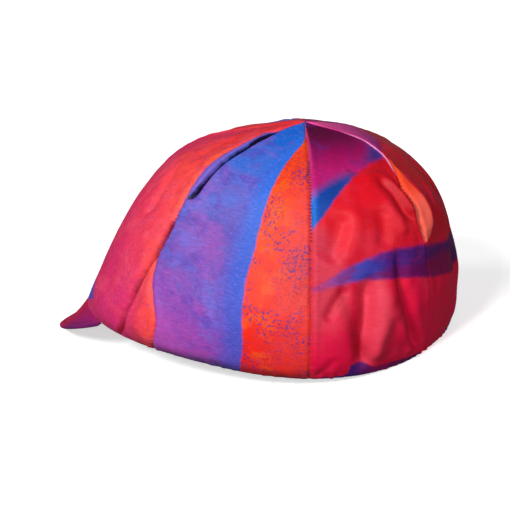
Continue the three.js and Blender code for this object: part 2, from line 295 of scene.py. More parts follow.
def outward(gore, degrees, v):
    """Direction square to the cloth in its own upright plane, as (reach, height) parts."""
    below, above = np.minimum(v + 1e-3, 1), np.maximum(v - 1e-3, 0)
    dr = cloth_reach(gore, degrees, below) - cloth_reach(gore, degrees, above)
    dz = rows("height", below) - rows("height", above)
    length = np.hypot(dr, dz)
    return -dz / length, dr / length


def ripples(seed, across, down, size, count=9):
    """Gentle uneven waviness of slack cloth, roughly between -1 and 1."""
    dice = np.random.default_rng(seed)
    total = np.zeros_like(across)
    for _ in range(count):
        heading = dice.uniform(0, math.pi)
        wave = 2 * math.pi / (size * dice.uniform(0.7, 1.6))
        phase = dice.uniform(0, 2 * math.pi)
        total += np.sin((across * math.cos(heading) + down * math.sin(heading)) * wave + phase)
    return total / math.sqrt(count)


def around(degrees, reach, height):
    """Points of the upright cap from their angle, reach and height."""
    t = np.radians(degrees)
    return np.stack([reach * np.sin(t), -reach * np.cos(t), height], -1)


def settle(points):
    """Tips laid-out points onto the floor, and turns millimetres into metres."""
    t = math.radians(REST_TILT)
    ahead = points[..., 1] - REST_PIVOT
    y = REST_PIVOT + ahead * math.cos(t) + points[..., 2] * math.sin(t) + REST_FORWARD
    z = points[..., 2] * math.cos(t) - ahead * math.sin(t) - REST_SINK
    return np.stack([points[..., 0], y, np.maximum(z, 0)], -1) / 1000


# Meshes


def add_map(mesh, name, places):
    """Cloth coordinates of each point, as a layer that the materials read."""
    layer = mesh.uv_layers.new(name=name)
    corners = np.empty(len(mesh.loops), np.int32)
    mesh.loops.foreach_get("vertex_index", corners)
    layer.data.foreach_set("uv", places.reshape(-1, 2)[corners].astype(np.float32).ravel())


def make_mesh(name, points, faces, materials, face_slots=None, cloth=None, weave=None):
    """A smooth mesh in the scene. Cloth has its share of the piece and its place in millimetres."""
    mesh = bpy.data.meshes.new(name)
    mesh.from_pydata(points.reshape(-1, 3).tolist(), [], faces.tolist())
    for material in materials:
        mesh.materials.append(material)
    if face_slots is not None:
        mesh.polygons.foreach_set("material_index", face_slots.astype(np.int32))
    if cloth is not None:
        add_map(mesh, "cloth", cloth)
        add_map(mesh, "weave", weave)
    mesh.polygons.foreach_set("use_smooth", np.ones(len(faces), bool))
    mesh.update()
    piece = bpy.data.objects.new(name, mesh)
    bpy.context.scene.collection.objects.link(piece)
    return piece


def grid_faces(tall, wide, around_rows=False, around_columns=False):
    """Quads of a grid of points, closed round in either direction where asked."""
    r = np.arange(tall if around_rows else tall - 1)
    c = np.arange(wide if around_columns else wide - 1)
    rr, cc = np.meshgrid(r, c, indexing="ij")
    r2, c2 = (rr + 1) % tall, (cc + 1) % wide
    quads = np.stack([rr * wide + cc, r2 * wide + cc, r2 * wide + c2, rr * wide + c2], -1)
    return quads.reshape(-1, 4)


def gather(degrees):
    """Uneven gathers pulled up by the elastic, strongest at the back of the head."""
    backness = fade((1 - np.cos(np.radians(degrees))) / 1.3)
    waves = np.sin(np.radians(degrees) * 83 + 1.7 * np.sin(np.radians(degrees) * 11))
    uneven = 0.6 + 0.4 * np.sin(np.radians(degrees) * 17 + 1)
    return waves * uneven * (0.15 + 0.85 * backness)


def tuck(degrees, v, reach, inner):
    """Rise of the tuck, and the degrees by which its seam side leans over it."""
    line, way = np.array(TUCK_LINE).T
    offset = np.radians(degrees - np.interp(v, way, line)) * reach
    ends = fade((v - way[0]) * 12) * fade((way[-1] - v) * 22)
    if inner:
        return TUCK_DEPTH * bell(offset, TUCK_POCKET) * ends, 0 * offset
    lip = bell(offset + 2 * TUCK_WIDTH, TUCK_LIP_WIDTH)
    rise = TUCK_DEPTH * bell(offset, TUCK_WIDTH) + TUCK_LIP * lip
    return rise * ends, np.degrees(TUCK_LEAN * lip * ends / reach)


def back_seam_flat(from_seam, v):
    """1 along the flat lower half of the back seam, and 0 away from it."""
    return fade((v - FLAT_FROM) * 8) * bell(from_seam, FLAT_WIDTH)


def cloth_surface(gore, degrees, v, inner=False):
    """Face of a gore with all its folds, as angle, reach and height. The inner face skips detail."""
    start, end = seam_angle(gore, v), seam_angle(gore + 1, v)
    reach = cloth_reach(gore, degrees, v)
    nr, nz = outward(gore, degrees, v)
    from_start = np.radians(degrees - start) * reach
    from_end = np.radians(end - degrees) * reach
    near = np.maximum(np.minimum(from_start, from_end), 0)
    x, y = np.radians(degrees - SEAM_ANGLES[gore]) * reach, v * MERIDIAN
    rise = fold_rise(degrees, v, reach)
    wave = BROAD_WAVE * ripples(gore + 3, x, y, BROAD_WAVE_LENGTH)
    rise += wave * fade(near / 18) * fade((1 - v) * 8) * fade(v * 5)
    leaning = degrees
    if GORES[gore] == "gore_side_left":
        depth, lean = tuck(degrees, v, reach, inner)
        rise += depth
        leaning = degrees + lean * fade(near / 2)
    if inner:
        rise -= CLOTH
    else:
        wave = FINE_WAVE * ripples(gore + 31, x * 1.6, y * 0.7, FINE_WAVE_LENGTH)
        rise += wave * fade(near / 6) * fade(v * 6)
        flat_part = 0
        if GORES[gore] == "gore_back_left":
            flat_part = back_seam_flat(from_end, v)
        elif GORES[gore] == "gore_back_right":
            flat_part = back_seam_flat(from_start, v)
        rise -= SEAM_TUCK * bell(near, SEAM_TUCK_WIDTH) * (1 - 0.8 * flat_part)
        shoulder = bell(near - SEAM_SHOULDER_PLACE, SEAM_SHOULDER_WIDTH)
        rise += SEAM_SHOULDER * shoulder * fade(v * 7) * (1 - flat_part)
        pucker = np.sin(2 * math.pi * y / PUCKER_SPACING + 1.3 * np.sin(y / 9 + gore))
        rise += PUCKER_RISE * pucker * np.exp(-near / PUCKER_REACH) * fade(v * 5)
        if GORES[gore] == "gore_back_left":
            welt = bell(from_end - WELT_OFFSET, WELT_WIDTH)
            rise += WELT_RISE * welt * fade(v * 14) * fade((WELT_END - v) * 6)
    rise += HEM_PUCKER * gather(degrees) * bell((1 - v) * MERIDIAN, HEM_PUCKER_REACH)
    return leaning, reach + nr * rise, rows("height", v) + nz * rise


def whole_skin(outer, inner, turn=None):
    """Rows of a gore's skin: its face, the turned hem, and its inner face from the hem up."""
    if turn is None:
        turn = np.repeat(outer[-1:], len(HEM_TURN), 0)
    return np.concatenate([outer, turn, inner[::-1]])


def gore_piece(gore, outside, inside):
    """One gore as a closed sheet: its printed face, the turned hem and its plain inner face."""
    t = np.linspace(0, 1, GORE_COLUMNS + 1)
    # Columns crowd toward the seams, where the cloth turns most, and the first row leaves a pinhole.
    across = t - 0.75 * np.sin(2 * math.pi * t) / (2 * math.pi)
    down = 0.001 + 0.999 * np.linspace(0, 1, GORE_ROWS + 1)
    v, u = np.meshgrid(down, across, indexing="ij")
    degrees = seam_angle(gore, v) * (1 - u) + seam_angle(gore + 1, v) * u
    inner_degrees, inner_reach, inner_height = cloth_surface(gore, degrees, v, inner=True)
    degrees, reach, height = cloth_surface(gore, degrees, v)
    height = np.maximum(height, HEM_ROUND * fade((v - 0.9) * 10))
    inner_height = np.maximum(inner_height, HEM_ROUND * fade((v - 0.9) * 10))
    inner_reach = np.maximum(inner_reach, 0.02)
    width = CLOTH / outward(gore, degrees, v)[0][-1]
    inner_reach[-1], inner_height[-1] = reach[-1] - width, height[-1]
    # The hem is turned round a small radius, and its gathers lift its lower edge here and there.
    lift = HEM_ROUND * 0.8 * np.maximum(gather(degrees[-1]), 0)
    turn_reach = np.stack([reach[-1] - width * share for share, _ in HEM_TURN])
    turn_height = np.stack([HEM_ROUND * low + lift for _, low in HEM_TURN])
    height[-1] = height[-1] + lift * 0.5
    inner_height[-1] = inner_height[-1] + lift * 0.5
    full_degrees = whole_skin(degrees, inner_degrees)
    full_reach = whole_skin(reach, inner_reach, turn_reach)
    full_height = whole_skin(height, inner_height, turn_height)
    points = settle(around(full_degrees, full_reach, full_height))
    full_u, full_v = whole_skin(u, u), whole_skin(v, v)
    tall, wide = full_u.shape
    sheet = grid_faces(tall, wide)
    slots = np.where(sheet[:, 0] // wide > GORE_ROWS + len(HEM_TURN) - 1, 1, 0)
    i = np.arange(tall // 2 - 1)
    j = tall - 1 - i
    first = np.stack([i, j, j - 1, i + 1], -1) * wide
    last = first[:, ::-1] + wide - 1
    c = np.arange(wide - 1)
    tip = np.stack([c, c + 1, (tall - 1) * wide + c + 1, (tall - 1) * wide + c], -1)
    faces = np.concatenate([sheet, first, last, tip])
    slots = np.concatenate([slots, np.zeros(len(faces) - len(sheet), int)])
    middle = (seam_angle(gore, full_v) + seam_angle(gore + 1, full_v)) / 2
    taut = plan_reach(middle, full_v)
    weave = np.stack([np.radians(full_degrees - middle) * taut, full_v * MERIDIAN], -1)
    share = np.stack([full_u, full_v], -1)
    return make_mesh(GORES[gore] + "_cloth", points, faces, [outside, inside], slots, share, weave)


def hem_angle(x):
    """Angle at which the front hem stands at a given distance from the middle line."""
    angles = np.linspace(-60, 60, 2401)
    return np.interp(x, plan_reach(angles, 1.0) * np.sin(np.radians(angles)), angles)


def peak_surface(across, along, depth):
    """Point of the peak: across -1 to 1, along 0 at the hem to 1 at the edge, depth under the top."""
    x = across * PEAK_HALF
    hem_y = -plan_reach(hem_angle(x), 1.0) * np.cos(np.radians(hem_angle(x)))
    run = PEAK_REACH * math.cos(math.radians(PEAK_DROOP)) * (1 - across**2) ** PEAK_OUTLINE
    steep = math.tan(math.radians(PEAK_DROOP))
    drop = run * steep * (along + PEAK_HOLLOW * along * (1 - along))
    slope = np.arctan(steep * (1 + PEAK_HOLLOW * (1 - 2 * along)))
    slope = slope * (0.5 + 0.5 * fade(along / 0.15))
    y = hem_y - run * along + depth * np.sin(slope)
    z = -PEAK_GAP - drop - depth * np.cos(slope)
    return np.stack([x + 0 * y, y, z], -1), slope


def peak_piece(cloth):
    """The peak in one skin: top, rounded edge, underside, and the root hidden behind the hem."""
    across = PEAK_ENDS * np.sin(np.linspace(-math.pi / 2, math.pi / 2, PEAK_COLUMNS))
    along = np.linspace(0, 1, PEAK_ROWS)
    sections = []
    for side in across:
        top, slope = peak_surface(np.full(PEAK_ROWS, side), along, 0.0)
        quilt = PEAK_QUILT * ripples(77, top[:, 0], top[:, 1], PEAK_QUILT_LENGTH)
        top[:, 2] += quilt * np.sin(math.pi * along)
        under, _ = peak_surface(np.full(PEAK_ROWS, side), along, PEAK_THICK)
        edge_top, edge_under, lean = top[-1], under[-1], slope[-1]
        middle, half = (edge_top + edge_under) / 2, (edge_top - edge_under) / 2
        forward = np.array([0, -math.cos(lean), -math.sin(lean)]) * PEAK_NOSE
        turn = np.linspace(0, math.pi, PEAK_EDGE_STEPS + 2)[1:-1]
        nose = [middle + half * math.cos(a) + forward * math.sin(a) for a in turn]
        root_top = top[0] + np.array([0, CLOTH, 0])
        root_under = under[0] + np.array([0, CLOTH, 0.2])
        sections.append(np.concatenate([[root_top], top, nose, under[::-1], [root_under]]))
    points = np.array(sections)
    tall, wide = points.shape[:2]
    sheet = grid_faces(tall, wide, around_columns=True)
    ends = []
    for start, flip in ((0, 1), ((tall - 1) * wide, -1)):
        for j in range(wide // 2 - 1):
            k = wide - 1 - j
            ends.append([start + n for n in (j, k, k - 1, j + 1)][::flip])
    faces = np.concatenate([sheet[:, ::-1], np.array(ends)])
    way = np.concatenate([[0], along, np.ones(PEAK_EDGE_STEPS), along[::-1], [0]])
    share = np.stack(np.meshgrid((across + 1) / 2, way, indexing="ij"), -1)
    weave = share * np.array([2 * PEAK_HALF, PEAK_REACH])
    return make_mesh("peak_cloth", settle(points), faces, [cloth], cloth=share, weave=weave)


def wall_inside(degrees, height):
    """Reach of the inner face of the crown's lowest strip at a small height above the hem."""
    v_above = 1 - LOWEST_STRIP
    reach = np.zeros_like(degrees)
    for gore in range(6):
        hem = cloth_reach(gore, degrees, 1.0)
        hem_in = hem - CLOTH / outward(gore, degrees, 1.0)[0]
        above = cloth_reach(gore, degrees, v_above)
        nr, nz = outward(gore, degrees, v_above)
        tall = rows("height", v_above) - nz * CLOTH
        slope = (above - nr * CLOTH - hem_in) / tall
        inside = (degrees >= seam_angle(gore, 1.0)) & (degrees < seam_angle(gore + 1, 1.0))
        reach = np.where(inside, hem_in + slope * height, reach)
    return reach


def casing_piece(cloth):
    """The hem casing: a flat rounded band inside the hem, rucked a little by its elastic."""
    degrees = np.linspace(0, 360, CASING_COLUMNS, endpoint=False)
    outer_low = wall_inside(degrees, 0) - CASING_GAP
    outer_high = wall_inside(degrees, CASING_THICK) - CASING_GAP
    back = fade(1 - np.cos(np.radians(degrees)))
    width = CASING_FRONT + (CASING_BACK - CASING_FRONT) * back
    ruck = CASING_RUCK * gather(degrees)
    loops = []
    # The powers below 1 square the band's round section off.
    for turn in np.linspace(0, 2 * math.pi, CASING_SIDES, endpoint=False):
        share = 0.5 - 0.5 * math.copysign(abs(math.cos(turn)) ** 0.35, math.cos(turn))
        high = 0.5 + 0.5 * math.copysign(abs(math.sin(turn)) ** 0.5, math.sin(turn))
        outer = outer_low * (1 - high) + outer_high * high
        dip = ruck * math.sin(math.pi * share)
        height = CASING_THICK * high + np.where(high < 0.5, np.maximum(dip, 0), dip)
        loops.append((outer - width * share, height))
    reach, height = np.stack(loops, -1)
    points = settle(around(np.repeat(degrees[:, None], CASING_SIDES, 1), reach, height))
    faces = grid_faces(CASING_COLUMNS, CASING_SIDES, around_rows=True, around_columns=True)
    share = np.stack(np.meshgrid(degrees / 360, np.linspace(0, 1, CASING_SIDES), indexing="ij"), -1)
    weave = share * np.array([CASING_ROUND, CASING_GIRTH])
    return make_mesh("hem_casing_cloth", points, faces, [cloth], cloth=share, weave=weave)


# Materials


def linear(hex_colour):
    """Turns an sRGB hex colour into the linear colour that a shader takes."""
    parts = [int(hex_colour[i : i + 2], 16) / 255 for i in (1, 3, 5)]
    return (*[p / 12.92 if p <= 0.04045 else ((p + 0.055) / 1.055) ** 2.4 for p in parts], 1)


def shade(hexes):
    """Evenly spaced or placed colours as linear stops."""
    if isinstance(hexes[0], str):
        hexes = [(i / (len(hexes) - 1), colour) for i, colour in enumerate(hexes)]
    return [(place, linear(colour)) for place, colour in hexes]


def add(tree, kind, inputs=(), stops=(), points=(), **settings):
    """Adds a shader node with its settings, its colour stops or curve points, and its inputs.

    Inputs are a dictionary by socket, or a row of values for the first sockets. A node among them is
    linked by its first output."""
    node = tree.nodes.new("ShaderNode" + kind)
    for name, value in settings.items():
        setattr(node, name, value)
    for i, (place, colour) in enumerate(stops):
        elements = node.color_ramp.elements
        element = elements[i] if i < 2 else elements.new(place)
        element.position, element.color = place, colour
    if points:
        node.mapping.use_clip = False
        curve = node.mapping.curves[0]
        while len(curve.points) < len(points):
            curve.points.new(0.5, 0.5)
        for point, place in zip(curve.points, points):
            point.location, point.handle_type = place, "AUTO_CLAMPED"
        node.mapping.update()
    by_socket = inputs if isinstance(inputs, dict) else dict(enumerate(inputs))
    for socket, value in by_socket.items():
        if isinstance(value, bpy.types.Node):
            value = value.outputs[0]
        if isinstance(value, bpy.types.NodeSocket):
            tree.links.new(value, node.inputs[socket])
        else:
            node.inputs[socket].default_value = value
    return node


def new_material(name):
    """An empty material and its tree of nodes."""
    material = bpy.data.materials.new(name)
    material.use_nodes = True
    material.node_tree.nodes.clear()
    return material, material.node_tree


def cloth_place(tree):
    """Way across and down a piece from 0 to 1, and the same place on the cloth in millimetres."""
    share = add(tree, "UVMap", uv_map="cloth")
    parts = add(tree, "SeparateXYZ", (share,))
    weave = add(tree, "UVMap", uv_map="weave")
    return parts.outputs[0], parts.outputs[1], weave


def cloud(tree, weave, size, seed, stretch=1.0, detail=3.0, levels=None):
    """Noise with patches about this many millimetres tall, drawn out sideways by stretch.

    Levels keep only its high parts: 0 up to the first level, and 1 from the second."""
    move = {"Location": (seed * 17.3, seed * 5.1, 0), "Scale": (1 / size / stretch, 1 / size, 1)}
    place = add(tree, "Mapping", {0: weave, **move})
    grain = {"Vector": place, "Scale": 1.0, "Detail": detail, "Roughness": 0.6}
    noise = add(tree, "TexNoise", grain, noise_dimensions="2D")
    if levels is None:
        return noise
    return add(tree, "MapRange", (noise, *levels, 0.0, 1.0), interpolation_type="SMOOTHSTEP")


def beyond(tree, across, down, edge):
    """1 on one side of a block's edge and 0 on the other.

    An edge is (side, softness, point, point, ...): side is right, left, below or above, and the points
    are (down, across) for right and left, or (across, down) for below and above."""
    side, soft, *points = edge
    along, value = (down, across) if side in ("right", "left") else (across, down)
    line = add(tree, "FloatCurve", {1: along}, points=points)
    terms = (value, line) if side in ("right", "below") else (line, value)
    past = add(tree, "Math", terms, operation="SUBTRACT")
    return add(tree, "MapRange", (past, -soft, soft, 0.0, 1.0), interpolation_type="SMOOTHSTEP")


def printed_colour(tree, ground, layers):
    """Colour of one piece: a ground that changes down it, then layers of blocks, mist and flecks. Some blocks
    are painted shade or painted sheen.
    """
    across, down, weave = cloth_place(tree)
    wobble = add(tree, "Math", (cloud(tree, weave, 5, 3), 0.5), operation="SUBTRACT")
    across = add(tree, "Math", (wobble, EDGE_WOBBLE[0], across), operation="MULTIPLY_ADD")
    down = add(tree, "Math", (wobble, EDGE_WOBBLE[1], down), operation="MULTIPLY_ADD")
    colour = add(tree, "ValToRGB", (down,), stops=shade(ground))
    masks = {"all over": 1.0}
    for kind, where, *rest in layers:
        if kind in ("down", "across"):
            dye, *edges = rest
            factors = [beyond(tree, across, down, edge) for edge in edges]
        elif kind == "mist":
            size, stretch, seed, low, high, strength, dye = rest
            mist = cloud(tree, weave, size, seed, stretch, levels=(low, high))
            factors = [mist, strength, masks[where]]
        else:
            size, seed, strength, dye = rest
            dots = cloud(tree, weave, size, seed, 1.1, 2.0, DOT_LEVELS)
            herd = cloud(tree, weave, HERD_SIZE, seed + 1, levels=HERD_LEVELS)
            factors = [dots, herd, strength, masks[where]]
        share, *others = factors
        for factor in others:
            share = add(tree, "Math", (share, factor), operation="MULTIPLY")
        if kind in ("down", "across"):
            masks[where] = share
        if isinstance(dye, str):
            top = linear(dye)
        else:
            place = down if kind == "down" else across
            top = add(tree, "ValToRGB", (place,), stops=shade(dye))
        colour = add(tree, "Mix", {0: share, 6: colour, 7: top}, data_type="RGBA").outputs[2]
    return colour, weave


def knit_height(tree, weave):
    """Relief of a fine knit, whose ribs of loops run down the cloth, on a slightly slack ground.

    The real wales are about 0.4 mm apart. They are drawn wider apart, so that they still show."""
    # A wave texture of scale 1 repeats every 2 pi / 20.
    loops = {"Scale": 2 * math.pi / 20 / WALE_DRAWN, "Distortion": 1.2, "Detail": 1.0, "Detail Scale": 1.5}
    wale = add(
        tree,
        "TexWave",
        {"Vector": weave, **loops},
        wave_type="BANDS",
        bands_direction="X",
    ).outputs[1]
    grain = cloud(tree, weave, 1.1, 8, 0.8, 2.0)
    slack = cloud(tree, weave, 9, 11, 0.7, 3.0)
    height = add(tree, "Math", (grain, 0.9, wale), operation="MULTIPLY_ADD")
    return add(tree, "Math", (slack, 3.5, height), operation="MULTIPLY_ADD")


def finish_cloth(tree, colour, height, strength, distance):
    """Polyester thread: a tight matt knit with its relief, little gloss and hardly any fuzz."""
    relief = {"Height": height, "Strength": strength, "Distance": distance}
    shader = add(
        tree,
        "BsdfPrincipled",
        {
            "Base Color": colour,
            "Normal": add(tree, "Bump", relief),
            "Roughness": 0.5,
            "IOR": 1.5,
            "Specular IOR Level": 0.2,
            "Sheen Weight": 0.01,
            "Sheen Roughness": 0.45,
        },
    )
    add(tree, "OutputMaterial", (shader,))


def printed_jersey(name, ground, layers=()):
    """Polyester jersey, dyed by heat transfer: matt and even, with a faint satin from its filaments. Its
    colour also holds the painted shade and sheen blocks of the print tables.
    """
    material, tree = new_material(name)
    colour, weave = printed_colour(tree, ground, layers)
    # Fine streaks along the courses, where the dye took a little more or less.
    streak = cloud(tree, weave, 1.3, 5, 4.0, 2.0, (0.25, 0.75))
    grey = add(tree, "CombineXYZ", (streak, streak, streak))
    streaky = {0: 0.1, 6: colour, 7: grey}
    colour = add(tree, "Mix", streaky, data_type="RGBA", blend_type="OVERLAY").outputs[2]
    finish_cloth(tree, colour, knit_height(tree, weave), 0.45, 0.00009)
    return material


def undyed_reverse(name, tint):
    """Back of the printed jersey: undyed white polyester with a haze of the colour showing through."""
    material, tree = new_material(name)
    _, _, weave = cloth_place(tree)
    haze = cloud(tree, weave, 14, 2, levels=(0.3, 0.75))
    colour = add(tree, "ValToRGB", (haze,), stops=shade(("#F1E9E9", tint)))
    finish_cloth(tree, colour, knit_height(tree, weave), 0.5, 0.0001)
    return material


def spun_thread(name, tint):
    """Spun polyester sewing thread: matt and twisted, with painted shade in the tiny gaps between its plies.
    """
    material, tree = new_material(name)
    place = add(tree, "TexCoord").outputs[3]
    # In metres, this scale sets the plies 0.35 mm apart.
    twist = {"Vector": place, "Scale": 900.0, "Distortion": 2.0}
    ply = add(tree, "TexWave", twist, bands_direction="DIAGONAL").outputs[1]
    # The near-black stop is painted shade in the gaps between the plies.
    colour = add(tree, "ValToRGB", (ply,), stops=shade(("#140C22", tint)))
    finish_cloth(tree, colour, ply, 0.4, 0.00004)
    return material


# Prints: plain wedges and bands of dye, with some blocks of painted shade and painted sheen, each marked
# where it stands. Ground colours run from the apex to the hem.
# A block is (way its colours run, name, colours, edges...), and an edge (side, softness, points...).
# Mist is (where, size mm, stretch sideways, seed, from, to, strength, colour), and flecks are
# (where, size mm, seed, strength, colour).

VIOLET_GROUND = (
    (0, "#0660CC"), (0.12, "#0464D0"), (0.25, "#2866CA"), (0.36, "#5E58B4"), (0.5, "#5C4CAC"),
    (0.62, "#6C44A6"), (0.75, "#8440A4"), (0.88, "#90389C"), (1, "#8A3290"),
)
ORANGE_EDGE = (
    (0, 1), (0.09, 0.955), (0.19, 0.79), (0.28, 0.715), (0.43, 0.65), (0.55, 0.63), (0.65, 0.616),
    (0.75, 0.604), (1, 0.593),
)
ORANGE = (
    (0.1, "#EE3C18"), (0.3, "#F24A10"), (0.5, "#EE3E0C"), (0.65, "#EA2E0C"), (0.8, "#E42014"), (1, "#E21A18"),
)
SIDE_LEFT_LAYERS = (
    ("mist", "all over", 26, 1.5, 4, 0.46, 0.7, 0.5, "#A448A6"),
    ("mist", "all over", 17, 1.8, 9, 0.46, 0.72, 0.45, "#3E6ED2"),
    ("mist", "all over", 10, 1.3, 14, 0.48, 0.72, 0.6, "#5834A0"),
    (
        "down", "magenta corner", ("#A850B4", "#B048A4"),
        ("left", 0.3, (0, -0.5), (0.5, -0.3), (0.7, 0), (0.85, 0.2), (1, 0.3)),
    ),
    (
        "down", "blue band",
        ("#1468D8", "#2468D4", "#3464CC", "#3452BE", "#4A4CB4", "#6046B0"),
        ("right", 0.08, *((v, u - 0.14) for v, u in ORANGE_EDGE)),
    ),
    ("mist", "all over", 1.4, 2, 12, 0.52, 0.68, 0.18, "#A468C4"),
    ("mist", "all over", 1.5, 2, 13, 0.52, 0.68, 0.2, "#3C6CD8"),
    ("down", "orange wedge", ORANGE, ("right", 0.01, *ORANGE_EDGE)),
    ("mist", "orange wedge", 14, 1.2, 19, 0.46, 0.64, 0.45, "#FA6410"),
    ("mist", "orange wedge", 8, 1.2, 17, 0.46, 0.66, 0.6, "#DC2424"),
    (
        "down", "speckled side", ("#E84228", "#DC342C", "#E02A26"),
        ("right", 0.1, *((v, u + 0.2) for v, u in ORANGE_EDGE)),
    ),
    ("flecks", "orange wedge", 1.8, 21, 0.8, "#5C2A74"),
    ("flecks", "speckled side", 1.5, 27, 0.9, "#4A2880"),
    ("flecks", "orange wedge", 1.3, 24, 0.7, "#A02C40"),
    # Painted light and shade: the violet strip is the tuck's rolled lip as it turns from the light toward the
    # seam.
    (
        "down", "shaded strip", "#7660C4",
        ("left", 0.02, (0, -0.1), (0.15, 0), (0.2, 0.08), (0.36, 0.075), (0.46, -0.04), (1, -0.1)),
    ),
    # Painted shade: near-black fills the wall of the tuck's slot, which lies in the shadow of its lip.
    (
        "down", "tuck", "#141038",
        (
            "right", 0.008, (0, 0), (0.08, 0.01), (0.14, 0.05), (0.22, 0.086), (0.3, 0.078), (0.36, 0.055),
            (0.42, 0.026), (1, 0),
        ),
        (
            "left", 0.008, (0, 0.03), (0.08, 0.066), (0.14, 0.12), (0.22, 0.127), (0.3, 0.108), (0.36, 0.088),
            (0.41, 0.06), (0.43, -0.1),
        ),
    ),
)
BACK_LEFT_GROUND = (
    (0.2, "#D80618"), (0.3, "#D8081C"), (0.45, "#DA1428"), (0.62, "#DC0E34"), (0.75, "#DC083E"),
    (0.9, "#D8083C"),
)
PLUM_EDGE = ((0, 0.44), (0.176, 0.37), (0.353, 0.31), (0.647, 0.24), (1, 0.22))
PLUM = ((0.03, "#4A0028"), (0.1, "#680040"), (0.17, "#980656"), (0.25, "#BC186C"))
BACK_LEFT_BAND_TOP = (
    "above", 0.01, (0, 0.615), (0.04, 0.612), (0.2, 0.597), (0.44, 0.588), (0.65, 0.598), (0.87, 0.614),
    (1, 0.63),
)
BACK_LEFT_LAYERS = (
    (
        "down", "carmine side", ("#E00C38", "#E80E44"),
        ("right", 0.12, (0, 1.3), (0.4, 1.2), (0.6, 0.8), (1, 0.6)),
    ),
    ("mist", "all over", 20, 1.2, 5, 0.42, 0.7, 0.3, "#E03450"),
    # Painted sheen: paler pink on the ridge that faces the key light.
    (
        "down", "rosy ridge", ("#E0394C", "#DE3550"),
        ("right", 0.06, (0, 1.2), (0.5, 0.5), (0.6, 0.36), (0.8, 0.34), (1, 0.3)),
        ("left", 0.06, (0, 0.1), (0.5, 0.4), (0.62, 0.56), (0.7, 0.56), (0.84, 0.46), (1, 0.42)),
    ),
    # Painted sheen: pink on the left flank, where the light falls.
    (
        "down", "rosy side", ("#CC2E42", "#CE2A46"),
        ("left", 0.1, (0, -0.5), (0.36, -0.1), (0.5, 0.22), (0.6, 0.25), (0.7, 0.12), (0.8, -0.1), (1, -0.5)),
    ),
    # Painted shade along the deep valley of the fold low on this gore.
    (
        "down", "dark streak", ("#B40C2C", "#B80E2E"),
        (
            "right", 0.04, (0, 0.6), (0.54, 0.3), (0.6, 0.18), (0.67, 0.2), (0.735, 0.23), (0.83, 0.28),
            (1, 0.5),
        ),
        (
            "left", 0.04, (0, 0), (0.54, 0.16), (0.6, 0.22), (0.67, 0.26), (0.735, 0.31), (0.83, 0.38),
            (1, 0.3),
        ),
    ),
    # Painted shade: darker red in the upper corner by the back seam, where the cloth turns from the light.
    (
        "down", "dark corner", ("#BC0A1E", "#C40C22"),
        ("right", 0.12, (0, 0.7), (0.3, 0.76), (0.42, 0.86), (0.5, 1.2), (1, 1.3)),
    ),
    ("down", "plum top", PLUM, ("above", 0.01, *PLUM_EDGE)),
    ("mist", "plum top", 14, 1.4, 8, 0.5, 0.75, 0.45, "#6A2078"),
    (
        "down", "bluish corner", "#4A2A80",
        ("right", 0.12, (0, 1.2), (0.15, 0.95), (0.26, 0.66), (1, 0.5)), ("above", 0.01, *PLUM_EDGE),
    ),
    (
        "down", "rosy edge", ("#B82868", "#C83C74"),
        ("left", 0.02, (0, 0.05), (0.3, 0.01), (0.34, -0.1), (1, -0.1)),
    ),
    # The pale pink line by the welt is partly the undyed seam edge and partly a painted highlight on the
    # welt.
    (
        "down", "pale edge", "#FA94C4",
        ("right", 0.008, (0, 0.9), (0.1, 0.932), (0.2, 0.952), (0.28, 0.966), (0.31, 1.1), (1, 1.1)),
    ),
    (
        "across", "blue wedge",
        ((0.02, "#0464C6"), (0.1, "#083E98"), (0.3, "#143C90")), ("above", 0.01, *PLUM_EDGE),
        ("below", 0.03, (0, 0.335), (0.157, 0.295), (0.35, 0.262), (0.5, 0.258), (0.6, 0.3), (1, 0.5)),
    ),
    (
        "across", "violet band",
        (
            (0.05, "#B03070"), (0.2, "#7A3890"), (0.35, "#4444B0"), (0.5, "#3A34A0"), (0.6, "#4A1C80"),
            (1, "#56186C"),
        ),
        ("below", 0.01, (0, 0.605), (0.04, 0.6), (0.24, 0.555), (0.45, 0.526), (0.67, 0.512), (1, 0.52)),
        BACK_LEFT_BAND_TOP,
    ),
    ("mist", "violet band", 5, 2.2, 14, 0.48, 0.66, 0.6, "#84186C"),
    (
        "across", "magenta half", "#700A5C",
        ("below", 0.02, (0, 0.8), (0.35, 0.62), (0.6, 0.57), (1, 0.575)), BACK_LEFT_BAND_TOP,
    ),
    (
        "across", "hem patch",
        (
            (0.1, "#4A2888"), (0.28, "#40186E"), (0.4, "#68105C"), (0.5, "#8A0C58"), (0.65, "#7A1058"),
            (0.85, "#5C1050"),
        ),
        (
            "below", 0.01, (0, 1), (0.07, 0.975), (0.255, 0.95), (0.27, 0.89), (0.38, 0.9), (0.46, 0.93),
            (0.6, 0.93), (0.9, 0.96),
        ),
    ),
)
BACK_RIGHT_GROUND = ((0.15, "#B00E22"), (0.3, "#CC0A20"), (0.5, "#D80C28"), (0.75, "#F00C44"), (1, "#DC0A3E"))
BACK_RIGHT_BAND = (
    ("below", 0.01, (0, 0.525), (0.3, 0.566), (0.7, 0.57), (1, 0.58)),
    ("above", 0.01, (0, 0.63), (0.18, 0.655), (0.33, 0.67), (0.7, 0.66), (1, 0.62)),
)
